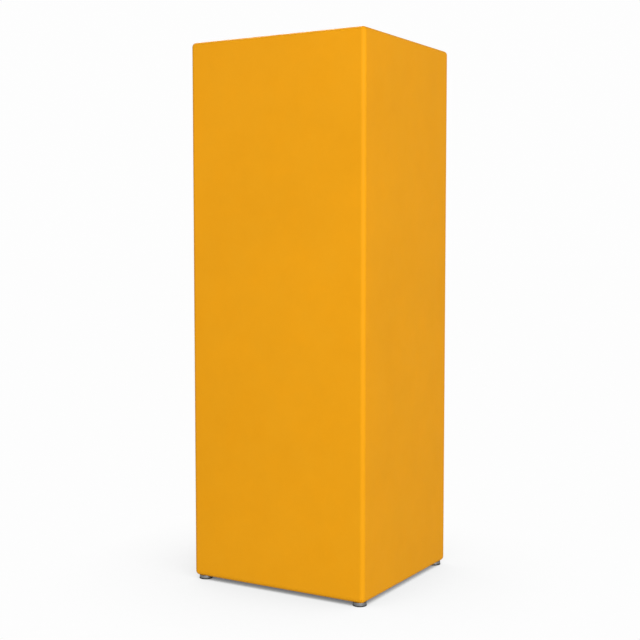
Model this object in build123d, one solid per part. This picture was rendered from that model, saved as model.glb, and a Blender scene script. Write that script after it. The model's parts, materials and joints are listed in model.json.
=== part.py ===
"""Newspaper vending box: a sheet steel cabinet with a bottom-hinged display door and a coin head.

Millimetres. Origin on the floor under the middle of the cabinet, +X to the right seen from the front,
front face towards -Y, +Z up. Depths are measured backwards from the front face.
"""
import math
import os

from build123d import *

os.makedirs("parts", exist_ok=True)

# ---- overall sizes
CABINET_WIDTH = 454.0
CABINET_DEPTH = 421.0
CABINET_HEIGHT = 1241.0
FLOOR_GAP = 9.0             # height of a foot pad, screwed fully in
EDGE_RADIUS = 10.0
SHEET = 2.0
THIN_SHEET = 1.5
FRONT_Y = -CABINET_DEPTH / 2
TOP_Z = FLOOR_GAP + CABINET_HEIGHT
WALL_X = CABINET_WIDTH / 2 - SHEET
BACK_D = CABINET_DEPTH - SHEET
CEILING_Z = TOP_Z - SHEET
BASE_Z = FLOOR_GAP + SHEET

# ---- clearances
PIN_CLEARANCE = 0.05        # hinge pin, on the radius
FIT = 0.06                  # sliding and turning fits, on the radius
LOOSE = 0.3                 # foot thread through sheet, on the radius
HOLE_CLEARANCE = 0.15       # screws and the lock through sheet, on the radius
CARD_AIR = 0.2              # card to its cover

# ---- front mouth and its three panels
RIM_SIDE = 26.0
RIM_TOP = 26.0
RIM_BOTTOM = 40.0
MOUTH_X = CABINET_WIDTH / 2 - RIM_SIDE
MOUTH_LOW = FLOOR_GAP + RIM_BOTTOM
MOUTH_HIGH = TOP_Z - RIM_TOP
LINER_FLANGE = 15.0         # reach of the liner's rear flange below the mouth
RECESS = 40.0               # front of the panels behind the rim
TRAY_DEPTH = 22.0
TRAY_BACK = RECESS + TRAY_DEPTH
SKIN_BACK = RECESS + SHEET
FIXED_GAP = 1.0             # fixed panel to mouth, each side
PANEL_X = MOUTH_X - FIXED_GAP
PANEL_CORNER = 3.0
HEAD_HEIGHT = 247.0         # coin head, from its floor to the top of the cabinet
HEAD_Z = TOP_Z - HEAD_HEIGHT
FASCIA_LOW = HEAD_Z + 1.0
FASCIA_HIGH = MOUTH_HIGH - 0.5

# ---- hinge line
HINGE_Z = 465.0
HINGE_D = RECESS
KNUCKLE_R = 4.5
PIN_R = 2.0
LEAF_OFFSET = KNUCKLE_R + 0.4   # hinge line to the panels above and below it
LEAF_START = 5.0
LEAF_WIDTH = 15.0
KNUCKLES = 9
KNUCKLE_GAP = 0.5
PANEL_TOP = HINGE_Z - LEAF_OFFSET

# ---- door
DOOR_GAP = 3.0
DOOR_X = MOUTH_X - DOOR_GAP
DOOR_LOW = HINGE_Z + LEAF_OFFSET
DOOR_HIGH = HEAD_Z - DOOR_GAP
DOOR_CORNER = 4.0
DOOR_OPEN = 75.0            # degrees
HINGE_HALF = DOOR_X - 26.0
SPRING_X = (HINGE_HALF + 3.0, HINGE_HALF + 18.0)
SPRING_R = PIN_R + 1.2
SPRING_WIRE = 0.8

# ---- window
WINDOW_X = DOOR_X - 38.0
WINDOW_LOW = HINGE_Z + 53.0
WINDOW_HIGH = DOOR_HIGH - 112.0
PANE_OVERLAP = 10.0
PANE_T = 4.0
PANE_CORNER = 2.0
GASKET_T = 1.5
PANE_BACK = SKIN_BACK + GASKET_T + PANE_T
BAR_W = 16.0
BAR_T = 3.0
BAR_X = WINDOW_X + 20.0
BAR_SCREW_R = 2.0
STIFF_OUT = DOOR_X - 5.0
STIFF_IN = STIFF_OUT - 12.0

# ---- quadrants that limit the door
QUAD_OUT = BACK_D - HINGE_D - 49.0
QUAD_IN = QUAD_OUT - 30.0
LUG_START = DOOR_OPEN + math.degrees(math.asin((TRAY_DEPTH + 0.4) / QUAD_IN))
QUAD_END = LUG_START + 3.0
LUG_X = MOUTH_X + 5.0

# ---- handle
HANDLE_R = 5.0
HANDLE_HALF = 60.0
HANDLE_Z = DOOR_HIGH - 55.0
HANDLE_REACH = 29.0
HANDLE_BEND = 11.0
HANDLE_FOOT_R = 9.0
HANDLE_SCREW_R = 3.0
HANDLE_SCREW_IN = 10.0

# ---- display wire
WIRE_R = 2.0
WIRE_X = WINDOW_X - 40.0
WIRE_D = SKIN_BACK + 14.0
WIRE_LOW = HINGE_Z + 22.0
WIRE_HIGH = WINDOW_HIGH - 58.0
EAR_X = (WIRE_X + 6.0, WIRE_X + 8.0)

# ---- door stops
STOP_Z = (DOOR_HIGH - 60.0, DOOR_HIGH - 30.0)
BUMPER_X = DOOR_X - 11.0
BUMPER_R = 6.5
BUMPER_T = SHEET - 0.3

# ---- panel screws
SCREW_X = PANEL_X - 12.0
SCREW_R = 2.5
TAB_X = PANEL_X - 22.0
TAB_HALF = 12.0
PANEL_SCREW_Z = (MOUTH_LOW + 26.0, HINGE_Z - 27.0)
FASCIA_SCREW_Z = (HEAD_Z + 21.0, FASCIA_HIGH - 18.5)

# ---- shelf
SHELF_Z = HINGE_Z + 13.0
SHELF_X = WALL_X - 3.0
SHELF_D = (TRAY_BACK + 4.0, BACK_D - 7.0)
SHELF_LIP = 14.0
SHELF_RAIL_D = (TRAY_BACK + 8.0, BACK_D - 9.0)
SHELF_RAIL_IN = WALL_X - 23.0

# ---- latch
LATCH_X = -60.0
LATCH_HALF = 3.0
SLOT_HALF = 6.0
DIVIDER_SLOT_D = (RECESS + 25.0, RECESS + 68.0)
NOSE_D = (RECESS + 58.2, RECESS + 64.0)
NOSE_TOP = DOOR_HIGH - 2.5

# ---- coin drawer
DRAWER_X = (-10.0, 90.0)
DRAWER_Z = (HEAD_Z + 21.0, HEAD_Z + 101.0)
BOX_INSET_X = 2.0
BOX_INSET_Z = 3.0
DRAWER_SHEET = 1.0
DRAWER_LONG = 180.0
DRAWER_GAP = 1.0
HOUSING_T = 1.5
HOUSING_D = (RECESS + 10.0, RECESS + 195.0)
LOCK_X = 40.0
LOCK_Z = HEAD_Z + 83.0
LOCK_R = 9.5
PLUG_R = 6.0
LOCK_BACK = RECESS + 18.0
CAM_D = (RECESS + 20.0, RECESS + 22.0)
CAM_REACH = 22.0
CAM_HALF = 5.0
CAM_SQUARE = 3.0
CAM_SLOT_GAP = 1.6

# ---- coin slot and chutes
COIN_X = 30.0
COIN_Z = HEAD_Z + 177.0
SLOT_T = 3.2
SLOT_H = 28.0
SLOT_NECK = (5.0, 16.0)     # half width and half height behind the plate
CHUTE_W = 6.4
CHUTE_T = 1.5
CHUTE_FRONT = RECESS + 6.0
CHUTE_THROAT = RECESS + 28.0
CHUTE_BACK = RECESS + 62.0

# ---- return button and lever
BUTTON_X = 74.0
BUTTON_Z = COIN_Z
BUTTON_R = 9.0
BUTTON_TRAVEL = 8.0
BARREL_R = BUTTON_R + 1.5
BEZEL_R = BUTTON_R + 4.0
BARREL_BACK = TRAY_BACK
BARREL_FLOOR = 4.0
CAP_D = (RECESS - BUTTON_TRAVEL, RECESS + 6.0)
STEM_R = 4.0
STEM_TIP = RECESS + 32.0
CLIP_D = (BARREL_BACK + 1.0, BARREL_BACK + 2.0)
CLIP_NECK_R = STEM_R - 0.8
SHAFT_R = 3.0
HUB_R = 5.5
PAWL_AXIS = (RECESS + 10.0, HEAD_Z + 9.0)       # depth, height
LEVER_AXIS = (STEM_TIP + 2.0, COIN_Z + 24.0)
WHEEL_AXIS = (RECESS + 90.0, COIN_Z - 30.0)
PLATE_X = (-80.0, 94.0)

# ---- return cup
CUP_X = (110.0, 174.0)
CUP_Z = (HEAD_Z + 27.0, HEAD_Z + 97.0)
CUP_WALL = 2.0
CUP_BACK = CHUTE_BACK + CUP_WALL
CUP_BEZEL = 6.0
FLAP_AXIS = (RECESS + 3.5, CUP_Z[1] - 8.0)
FLAP_PIN_R = 1.5

# ---- cards
CARD_X = (-PANEL_X + 50.0, PANEL_X - 50.0)
CARD_Z = (MOUTH_LOW + 81.0, HINGE_Z - 75.0)
PRICE_X = (-PANEL_X + 26.0, PLATE_X[0] + 34.0)
PRICE_Z = (HEAD_Z + 41.0, HEAD_Z + 193.0)
FRAME_T = 4.0
COVER_T = 2.0
CARD_T = 0.8

# ---- feet and anchor holes
FOOT_INSET = 19.5
FOOT_X = CABINET_WIDTH / 2 - FOOT_INSET
FOOT_Y = CABINET_DEPTH / 2 - FOOT_INSET
FOOT_R = 15.0
FOOT_STEM_R = 5.0
FOOT_TOP = 55.0
NUT_T = 10.0
BASE_RAIL_X = (FOOT_X - 17.5, FOOT_X + 9.5)
ANCHOR_X = CABINET_WIDTH / 2 - 77.0
ANCHOR_Y = CABINET_DEPTH / 2 - 70.5
ANCHOR_R = 6.5


# ---- helpers
def slab(x, d, z):
    """Box from spans of x, depth behind the front face, and height."""
    size = Box(x[1] - x[0], d[1] - d[0], z[1] - z[0])
    return Pos((x[0] + x[1]) / 2, FRONT_Y + (d[0] + d[1]) / 2, (z[0] + z[1]) / 2) * size


def both_sides(part):
    """The part and its mirror image across the middle of the cabinet."""
    return part + mirror(part, about=Plane.YZ)


def rod_x(x, d, z, r):
    body = Rot(0, 90, 0) * Cylinder(r, x[1] - x[0])
    return Pos((x[0] + x[1]) / 2, FRONT_Y + d, z) * body


def rod_y(x, d, z, r):
    body = Rot(90, 0, 0) * Cylinder(r, d[1] - d[0])
    return Pos(x, FRONT_Y + (d[0] + d[1]) / 2, z) * body


def rod_z(x, y, z, r):
    return Pos(x, y, (z[0] + z[1]) / 2) * Cylinder(r, z[1] - z[0])


def rounded(x, d, z, corner):
    """Upright plate with rounded corners, seen from the front."""
    where = Plane(origin=((x[0] + x[1]) / 2, FRONT_Y + d[1], (z[0] + z[1]) / 2),
                  x_dir=(1, 0, 0), z_dir=(0, -1, 0))
    outline = RectangleRounded(x[1] - x[0], z[1] - z[0], corner)
    return extrude(where * outline, amount=d[1] - d[0])


def grow(span, by):
    return (span[0] - by, span[1] + by)


def tray(x, z, corner):
    """Pressed panel with its edges turned back to the full tray depth."""
    outer = rounded(x, (RECESS, TRAY_BACK), z, corner)
    front = outer.faces().sort_by(Axis.Y)[0]
    outer = fillet(front.edges(), corner * 0.7)
    hollow = rounded(grow(x, -SHEET), (SKIN_BACK, TRAY_BACK + 1), grow(z, -SHEET), corner * 0.5)
    return outer - hollow


def ring(x, d, z, width, corner=0.8):
    """Flat frame of one width all round."""
    return rounded(x, d, z, corner) - rounded(grow(x, -width), grow(d, 1), grow(z, -width), corner)


def side_profile(points, x):
    """Outline given as (depth, height) points, drawn out along x."""
    where = Plane(origin=(x[0], FRONT_Y, 0), x_dir=(0, 1, 0), z_dir=(1, 0, 0))
    return extrude(where * make_face(Polyline(*points, close=True)), amount=x[1] - x[0])


def front_profile(points, d):
    """Outline given as (x, height) points, drawn out along the depth."""
    where = Plane(origin=(0, FRONT_Y + d[1], 0), x_dir=(1, 0, 0), z_dir=(0, -1, 0))
    return extrude(where * make_face(Polyline(*points, close=True)), amount=d[1] - d[0])


def around_hinge(radius, degrees):
    """Depth and height of a point round the hinge line, measured from upright towards the back."""
    turn = math.radians(degrees)
    return (HINGE_D + radius * math.sin(turn), HINGE_Z + radius * math.cos(turn))


def screw_hole(x, d, z, radius):
    """Clearance hole from front to back for a shank of the given radius."""
    return rod_y(x, d, z, radius + HOLE_CLEARANCE)


def screw(x, z, head_d, length, head_r=5.0, shank_r=SCREW_R, head_t=2.0, drive_r=2.0):
    """Domed screw driven from the front, with a round drive recess."""
    head = rod_y(x, (head_d - head_t, head_d), z, head_r)
    head = fillet(head.faces().sort_by(Axis.Y)[0].edges(), head_t * 0.6)
    head -= rod_y(x, (head_d - head_t - 1, head_d - head_t * 0.45), z, drive_r)
    return head + rod_y(x, (head_d, head_d + length), z, shank_r)


def coil(x, r, wire, turns, start):
    """Round coil of wire along x, starting at depth and height start."""
    pitch = (x[1] - x[0]) / turns
    where = Plane(origin=(x[0], FRONT_Y + start[0], start[1]), x_dir=(0, 1, 0), z_dir=(1, 0, 0))
    path = where * Helix(pitch, x[1] - x[0], r)
    section = Plane(origin=path @ 0, z_dir=path % 0) * Circle(wire)
    return sweep(section, path=path)


def save(part, name):
    export_step(part, os.path.join("parts", name + ".step"))


# ---- cabinet
def cabinet_shell():
    middle = FLOOR_GAP + CABINET_HEIGHT / 2
    outer = Pos(0, 0, middle) * Box(CABINET_WIDTH, CABINET_DEPTH, CABINET_HEIGHT)
    outer = fillet(outer.edges(), EDGE_RADIUS)
    hollow = Pos(0, 0, middle) * Box(CABINET_WIDTH - 2 * SHEET, CABINET_DEPTH - 2 * SHEET,
                                     CABINET_HEIGHT - 2 * SHEET)
    hollow = fillet(hollow.edges(), EDGE_RADIUS - SHEET)
    shell = outer - hollow - slab((-MOUTH_X, MOUTH_X), (-1, SHEET + 1), (MOUTH_LOW, MOUTH_HIGH))
    for sx in (-1, 1):
        for sy in (-1, 1):
            shell -= rod_z(sx * FOOT_X, sy * FOOT_Y, (FLOOR_GAP - 1, BASE_Z + 1), FOOT_STEM_R + LOOSE)
            shell -= rod_z(sx * ANCHOR_X, sy * ANCHOR_Y, (FLOOR_GAP - 1, BASE_Z + 1), ANCHOR_R)
    return shell


def recess_liner():
    t = THIN_SHEET
    flange_back = TRAY_BACK
    walls = slab((-MOUTH_X - t, MOUTH_X + t), (SHEET, flange_back), (MOUTH_LOW - t, MOUTH_HIGH + t))
    flange_z = (MOUTH_LOW - LINER_FLANGE, CEILING_Z)
    flange = rounded((-WALL_X, WALL_X), (flange_back - t, flange_back), flange_z, EDGE_RADIUS - 1)
    liner = walls + flange
    liner -= slab((-MOUTH_X, MOUTH_X), (0, flange_back + 1), (MOUTH_LOW, MOUTH_HIGH))
    for z in PANEL_SCREW_Z + FASCIA_SCREW_Z:
        tab = slab((TAB_X, WALL_X - 3), (flange_back, flange_back + SHEET), (z - TAB_HALF, z + TAB_HALF))
        liner += both_sides(tab - screw_hole(SCREW_X, (flange_back - 1, flange_back + 3), z, SCREW_R))
    return liner


def panel_screws(heights):
    screws = None
    for z in heights:
        for sx in (-1, 1):
            one = screw(sx * SCREW_X, z, RECESS, TRAY_DEPTH + 4)
            screws = one if screws is None else screws + one
    return screws


def panel_holes(heights):
    through = (RECESS - 1, SKIN_BACK + 1)
    return [screw_hole(sx * SCREW_X, through, z, SCREW_R) for z in heights for sx in (-1, 1)]


def paper_shelf():
    across = (-SHELF_X, SHELF_X)
    shelf = slab(across, SHELF_D, (SHELF_Z, SHELF_Z + SHEET))
    return shelf + slab(across, (SHELF_D[0], SHELF_D[0] + SHEET), (SHELF_Z - SHELF_LIP, SHELF_Z + SHEET))


def shelf_rails():
    top = slab((SHELF_RAIL_IN, WALL_X), SHELF_RAIL_D, (SHELF_Z - THIN_SHEET, SHELF_Z))
    side = slab((WALL_X - THIN_SHEET, WALL_X), SHELF_RAIL_D, (SHELF_Z - 20, SHELF_Z))
    return both_sides(top + side)


def head_divider():
    t = THIN_SHEET
    front, z = TRAY_BACK + 0.5, (HEAD_Z, HEAD_Z + THIN_SHEET)
    floor = slab((-WALL_X, WALL_X), (front, BACK_D - EDGE_RADIUS), z)
    floor += slab((-WALL_X + EDGE_RADIUS, WALL_X - EDGE_RADIUS), (front, BACK_D), z)
    sides = both_sides(slab((WALL_X - t, WALL_X), (front, BACK_D - EDGE_RADIUS - 4), (HEAD_Z - 18, z[1])))
    return floor + sides - slab((LATCH_X - SLOT_HALF, LATCH_X + SLOT_HALF), DIVIDER_SLOT_D, grow(z, 1))


def base_rails():
    long = (EDGE_RADIUS, CABINET_DEPTH - EDGE_RADIUS)
    rail = slab(BASE_RAIL_X, long, (BASE_Z, BASE_Z + SHEET))
    rail += slab((BASE_RAIL_X[0], BASE_RAIL_X[0] + SHEET), long, (BASE_Z, BASE_Z + 20))
    for sy in (-1, 1):
        rail -= rod_z(FOOT_X, sy * FOOT_Y, (BASE_Z - 1, BASE_Z + 3), FOOT_STEM_R + LOOSE)
    return both_sides(rail)


def foot_weld_nuts():
    low = BASE_Z + SHEET
    nuts = None
    for sx in (-1, 1):
        for sy in (-1, 1):
            one = extrude(RegularPolygon(9.5, 6), amount=NUT_T)
            one = Pos(sx * FOOT_X, sy * FOOT_Y, low) * one
            one -= rod_z(sx * FOOT_X, sy * FOOT_Y, (low - 1, low + NUT_T + 1), FOOT_STEM_R + FIT)
            nuts = one if nuts is None else nuts + one
    return nuts


def levelling_foot(sx, sy):
    pad = rod_z(sx * FOOT_X, sy * FOOT_Y, (0, FLOOR_GAP), FOOT_R)
    pad = fillet(pad.edges().filter_by(GeomType.CIRCLE), 1.2)
    return pad + rod_z(sx * FOOT_X, sy * FOOT_Y, (FLOOR_GAP - 1, FOOT_TOP), FOOT_STEM_R)


# ---- cards behind clear covers
def card_set(x, z, lip):
    """Frame, card and cover that stand on the face of a panel."""
    front, card_front = RECESS - FRAME_T, RECESS - CARD_T
    cover_back = card_front - CARD_AIR
    cover_front = cover_back - COVER_T
    pocket = grow(x, -4), grow(z, -4)
    frame = rounded(x, (front, RECESS), z, 4)
    frame = fillet(frame.faces().sort_by(Axis.Y)[0].edges(), 0.8)
    frame -= rounded(grow(x, -lip), (front - 1, RECESS + 1), grow(z, -lip), 2)
    frame -= slab(pocket[0], (cover_front, RECESS + 1), pocket[1])
    cover = slab(pocket[0], (cover_front, cover_back), pocket[1])
    card = slab(pocket[0], (card_front, RECESS), pocket[1])
    return frame, card, cover


def lower_panel():
    panel = tray((-PANEL_X, PANEL_X), (MOUTH_LOW + 0.5, PANEL_TOP), PANEL_CORNER)
    for hole in panel_holes(PANEL_SCREW_Z):
        panel -= hole
    return panel


# ---- door stops
def door_stops():
    back = TRAY_BACK + SHEET
    spacer = slab((MOUTH_X + 2, WALL_X - 3), (TRAY_BACK, back), STOP_Z)
    return both_sides(spacer + slab((MOUTH_X - 25, WALL_X - 3), (back, back + SHEET), STOP_Z))


def stop_bumpers():
    d = TRAY_BACK + SHEET
    return both_sides(rod_y(BUMPER_X, (d - BUMPER_T, d), sum(STOP_Z) / 2, BUMPER_R))


# ---- hinge
def knuckle_spans(of_door):
    long = (2 * HINGE_HALF - (KNUCKLES - 1) * KNUCKLE_GAP) / KNUCKLES
    first = 1 if of_door else 0
    for i in range(first, KNUCKLES, 2):
        low = -HINGE_HALF + i * (long + KNUCKLE_GAP)
        yield (low, low + long)


def hinge_leaf(of_door):
    side = 1 if of_door else -1
    t = THIN_SHEET

    def span(a, b):
        return tuple(sorted((HINGE_Z + side * a, HINGE_Z + side * b)))

    d = (HINGE_D + LEAF_START, HINGE_D + LEAF_START + LEAF_WIDTH)
    leaf = slab((-HINGE_HALF, HINGE_HALF), d, span(LEAF_OFFSET - t, LEAF_OFFSET))
    for x in knuckle_spans(of_door):
        leaf += rod_x(x, HINGE_D, HINGE_Z, KNUCKLE_R)
        leaf += slab(x, (HINGE_D, d[0] + 0.5), span(LEAF_OFFSET - t - 0.4, KNUCKLE_R))
    bore = PIN_R + (PIN_CLEARANCE if of_door else 0)
    return leaf - rod_x((-HINGE_HALF - 1, HINGE_HALF + 1), HINGE_D, HINGE_Z, bore)


def hinge_pin():
    return rod_x((-DOOR_X + 4, DOOR_X - 4), HINGE_D, HINGE_Z, PIN_R)


def door_springs():
    wire = SPRING_WIRE
    one = coil(SPRING_X, SPRING_R, wire, 7.5, (HINGE_D, HINGE_Z))
    leg = (HINGE_D + SPRING_R - 0.5, HINGE_D + LEAF_WIDTH)
    one += slab((SPRING_X[0] - wire, SPRING_X[0] + wire), leg, (HINGE_Z - wire, HINGE_Z + wire))
    return both_sides(one)


# ---- door
def window_span(extra):
    return (-WINDOW_X - extra, WINDOW_X + extra), (WINDOW_LOW - extra, WINDOW_HIGH + extra)


def door_skin():
    skin = tray((-DOOR_X, DOOR_X), (DOOR_LOW, DOOR_HIGH), DOOR_CORNER)
    x, z = window_span(0)
    skin -= rounded(x, (RECESS - 1, SKIN_BACK + 1), z, 6)
    for sx in (-1, 1):
        skin -= screw_hole(sx * HANDLE_HALF, (RECESS - 1, SKIN_BACK + 1), HANDLE_Z, HANDLE_SCREW_R)
    return skin


def door_stiffeners():
    z = (DOOR_LOW + 4, DOOR_HIGH - 4)
    t = THIN_SHEET
    channel = slab((STIFF_IN, STIFF_OUT), (SKIN_BACK, TRAY_BACK), z)
    return both_sides(channel - slab((STIFF_IN + t, STIFF_OUT - t), (0, TRAY_BACK - t), grow(z, 1)))


def window_gasket():
    x, z = window_span(PANE_OVERLAP)
    return ring(x, (SKIN_BACK, SKIN_BACK + GASKET_T), z, PANE_OVERLAP - 1, PANE_CORNER)


def window_pane():
    x, z = window_span(PANE_OVERLAP)
    return rounded(x, (PANE_BACK - PANE_T, PANE_BACK), z, PANE_CORNER)


def retainer_points():
    """Screw places along the window's retaining bars."""
    tall = WINDOW_HIGH - WINDOW_LOW
    for share in (-0.75, 0.0, 0.75):
        yield (share * WINDOW_X, WINDOW_LOW - 14)
        yield (share * WINDOW_X, WINDOW_HIGH + 14)
    for share in (0.22, 0.5, 0.78):
        for side in (-1, 1):
            yield (side * (BAR_X - 5), WINDOW_LOW + share * tall)


def window_retainers():
    d = (PANE_BACK, PANE_BACK + BAR_T)
    low = (WINDOW_LOW - 20, WINDOW_LOW - 20 + BAR_W)
    high = (WINDOW_HIGH + 20 - BAR_W, WINDOW_HIGH + 20)
    bars = slab((-BAR_X, BAR_X), d, low) + slab((-BAR_X, BAR_X), d, high)
    bars += both_sides(slab((BAR_X - BAR_W, BAR_X), d, (low[1] + 0.5, high[0] - 0.5)))
    for x, z in retainer_points():
        bars -= rod_y(x, grow(d, 1), z, BAR_SCREW_R)
    return bars


def retainer_screws():
    back = PANE_BACK + BAR_T
    screws = None
    for x, z in retainer_points():
        one = rod_y(x, (SKIN_BACK, back), z, BAR_SCREW_R) + rod_y(x, (back, back + 3), z, 3.5)
        screws = one if screws is None else screws + one
    return screws


def door_handle():
    back, front = FRONT_Y + RECESS, FRONT_Y + RECESS - HANDLE_REACH
    half, z = HANDLE_HALF, HANDLE_Z
    path = FilletPolyline((-half, back, z), (-half, front, z), (half, front, z), (half, back, z),
                          radius=HANDLE_BEND)
    section = Plane(origin=path @ 0, z_dir=path % 0) * Circle(HANDLE_R)
    bar = sweep(section, path=path)
    for sx in (-1, 1):
        bar += rod_y(sx * half, (RECESS - 3, RECESS), z, HANDLE_FOOT_R)
        bar -= rod_y(sx * half, (RECESS - HANDLE_SCREW_IN, RECESS + 1), z, HANDLE_SCREW_R)
    return bar


def handle_screws():
    shank = rod_y(HANDLE_HALF, (RECESS - HANDLE_SCREW_IN, SKIN_BACK), HANDLE_Z, HANDLE_SCREW_R)
    return both_sides(shank + rod_y(HANDLE_HALF, (SKIN_BACK, SKIN_BACK + 4), HANDLE_Z, 5.5))


def latch_strike():
    across = (LATCH_X - SLOT_HALF, LATCH_X + SLOT_HALF)
    base = slab(grow(across, 9), (SKIN_BACK, SKIN_BACK + SHEET), (DOOR_HIGH - 44, DOOR_HIGH - 4))
    finger = slab(across, (SKIN_BACK, NOSE_D[1]), (DOOR_HIGH - 20, DOOR_HIGH - 15))
    return base + finger + slab(across, NOSE_D, (DOOR_HIGH - 20, NOSE_TOP))


def door_quadrants():
    x = (STIFF_OUT + 1, DOOR_X - SHEET)
    inner = [around_hinge(QUAD_IN, a) for a in (1.0, 40.0, QUAD_END)]
    outer = [around_hinge(QUAD_OUT, a) for a in (1.0, 40.0, QUAD_END)]
    where = Plane(origin=(x[0], FRONT_Y, 0), x_dir=(0, 1, 0), z_dir=(1, 0, 0))
    edges = [ThreePointArc(*inner), Line(inner[2], outer[2]),
             ThreePointArc(*outer[::-1]), Line(outer[0], inner[0])]
    arm = extrude(where * make_face(edges), amount=x[1] - x[0])
    arm += slab(x, (SKIN_BACK + 1, TRAY_BACK - 0.5), (HINGE_Z + QUAD_IN - 30, HINGE_Z + QUAD_OUT + 30))
    lug = [around_hinge(QUAD_IN, LUG_START), around_hinge(QUAD_OUT, LUG_START),
           around_hinge(QUAD_OUT, QUAD_END), around_hinge(QUAD_IN, QUAD_END)]
    return both_sides(arm + side_profile(lug, (x[0], LUG_X)))


def display_wire_ears():
    z = (WIRE_LOW - 13, WIRE_LOW + 8)
    ear = slab(EAR_X, (SKIN_BACK, TRAY_BACK - 1), z)
    ear -= rod_x(grow(EAR_X, 1), WIRE_D, WIRE_LOW, WIRE_R + FIT)
    return both_sides(ear + slab((EAR_X[1], EAR_X[1] + 12), (SKIN_BACK, SKIN_BACK + THIN_SHEET), z))


def display_wire():
    y, end = FRONT_Y + WIRE_D, EAR_X[1] + 3
    path = FilletPolyline((-end, y, WIRE_LOW), (-WIRE_X, y, WIRE_LOW), (-WIRE_X, y, WIRE_HIGH),
                          (WIRE_X, y, WIRE_HIGH), (WIRE_X, y, WIRE_LOW), (end, y, WIRE_LOW),
                          radius=(3, 20, 20, 3))
    section = Plane(origin=path @ 0, z_dir=path % 0) * Circle(WIRE_R)
    return sweep(section, path=path)


# ---- coin head: face
def coin_fascia():
    face = tray((-PANEL_X, PANEL_X), (FASCIA_LOW, FASCIA_HIGH), PANEL_CORNER)
    through = (RECESS - 1, SKIN_BACK + 1)
    neck_x, neck_z = slot_neck()
    face -= slab(grow(DRAWER_X, DRAWER_GAP), through, grow(DRAWER_Z, DRAWER_GAP))
    face -= slab(grow(CUP_X, 0.5), through, grow(CUP_Z, 0.5))
    face -= slab(neck_x, through, neck_z)
    face -= rod_y(BUTTON_X, through, BUTTON_Z, BARREL_R)
    for hole in panel_holes(FASCIA_SCREW_Z):
        face -= hole
    return face


def slot_neck():
    half_x, half_z = SLOT_NECK
    return (COIN_X - half_x, COIN_X + half_x), (COIN_Z - half_z, COIN_Z + half_z)


def coin_slot_plate():
    neck_x, neck_z = slot_neck()
    plate = rounded(grow(neck_x, 11), (RECESS - 4, RECESS), grow(neck_z, 12), 6)
    plate = fillet(plate.faces().sort_by(Axis.Y)[0].edges(), 1.5)
    plate += slab(neck_x, (RECESS - 0.5, CHUTE_FRONT), neck_z)
    half_t, half_h = SLOT_T / 2, SLOT_H / 2
    return plate - slab((COIN_X - half_t, COIN_X + half_t), (RECESS - 5, CHUTE_FRONT + 1),
                        (COIN_Z - half_h, COIN_Z + half_h))


def coin_chute():
    """Flat channel that takes a coin back from the slot and drops it into the drawer."""
    t, half = CHUTE_T, CHUTE_W / 2
    front, throat, back = CHUTE_FRONT, CHUTE_THROAT, CHUTE_BACK
    top, step, low = COIN_Z + SLOT_NECK[1], COIN_Z - 20, housing_top()
    outer = [(front, top), (back, top), (back, low), (throat, low), (throat, step), (front, step)]
    inner = [(front - 1, top - t), (back - t, top - t), (back - t, low - 1), (throat + t, low - 1),
             (throat + t, step + t), (front - 1, step + t)]
    chute = side_profile(outer, (COIN_X - half, COIN_X + half))
    chute -= side_profile(inner, (COIN_X - half + t, COIN_X + half - t))
    gate = slab((COIN_X + half - t - 1, COIN_X + half + 1), (throat + 2, back - 2), (step - 32, step - 4))
    return chute - gate


def return_chute():
    """Sloping open channel from the gate of the coin chute to the top of the return cup."""
    left, cup, top = COIN_X + CHUTE_W / 2, CUP_X[0], CUP_Z[1]
    high = top + 26
    end = cup + CUP_WALL + 12
    outer = [(left, high), (cup, top + 3.2), (cup, top), (end, top), (end, top + 14), (left, high + 16)]
    inner = [(left - 1, high + 1.6), (cup + 2, top + 4.4), (cup + 2, top - 1),
             (end - CHUTE_T, top - 1), (end - CHUTE_T, top + 20), (left - 1, high + 24)]
    return front_profile(outer, (CHUTE_THROAT, CHUTE_BACK)) - front_profile(inner, chute_inside())


def chute_inside():
    return (CHUTE_THROAT + CHUTE_T, CHUTE_BACK - CHUTE_T)


def button_barrel():
    head = rod_y(BUTTON_X, (RECESS - 4, RECESS), BUTTON_Z, BEZEL_R)
    head = fillet(head.faces().sort_by(Axis.Y)[0].edges(), 2.0)
    barrel = head + rod_y(BUTTON_X, (RECESS - 1, BARREL_BACK), BUTTON_Z, BARREL_R)
    barrel -= rod_y(BUTTON_X, (RECESS - 10, BARREL_BACK - BARREL_FLOOR), BUTTON_Z, BUTTON_R + FIT)
    return barrel - rod_y(BUTTON_X, (RECESS + 10, BARREL_BACK + 5), BUTTON_Z, STEM_R + FIT)


def return_button():
    cap = rod_y(BUTTON_X, CAP_D, BUTTON_Z, BUTTON_R)
    cap = fillet(cap.faces().sort_by(Axis.Y)[0].edges(), 1.5)
    button = cap + rod_y(BUTTON_X, (CAP_D[1] - 1, STEM_TIP), BUTTON_Z, STEM_R)
    button -= rod_y(BUTTON_X, CLIP_D, BUTTON_Z, STEM_R + 2)
    return button + rod_y(BUTTON_X, grow(CLIP_D, 0.5), BUTTON_Z, CLIP_NECK_R)


def button_clip():
    return rod_y(BUTTON_X, CLIP_D, BUTTON_Z, 7.0) - rod_y(BUTTON_X, grow(CLIP_D, 1), BUTTON_Z, CLIP_NECK_R)


def button_spring():
    wire = 0.6
    room = BARREL_BACK - BARREL_FLOOR - CAP_D[1]
    where = Plane(origin=(BUTTON_X, FRONT_Y + CAP_D[1] + wire, BUTTON_Z), x_dir=(1, 0, 0), z_dir=(0, 1, 0))
    path = where * Helix(2.4, room - 2 * wire, (BUTTON_R + STEM_R) / 2)
    section = Plane(origin=path @ 0, z_dir=path % 0) * Circle(wire)
    return sweep(section, path=path)


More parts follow.
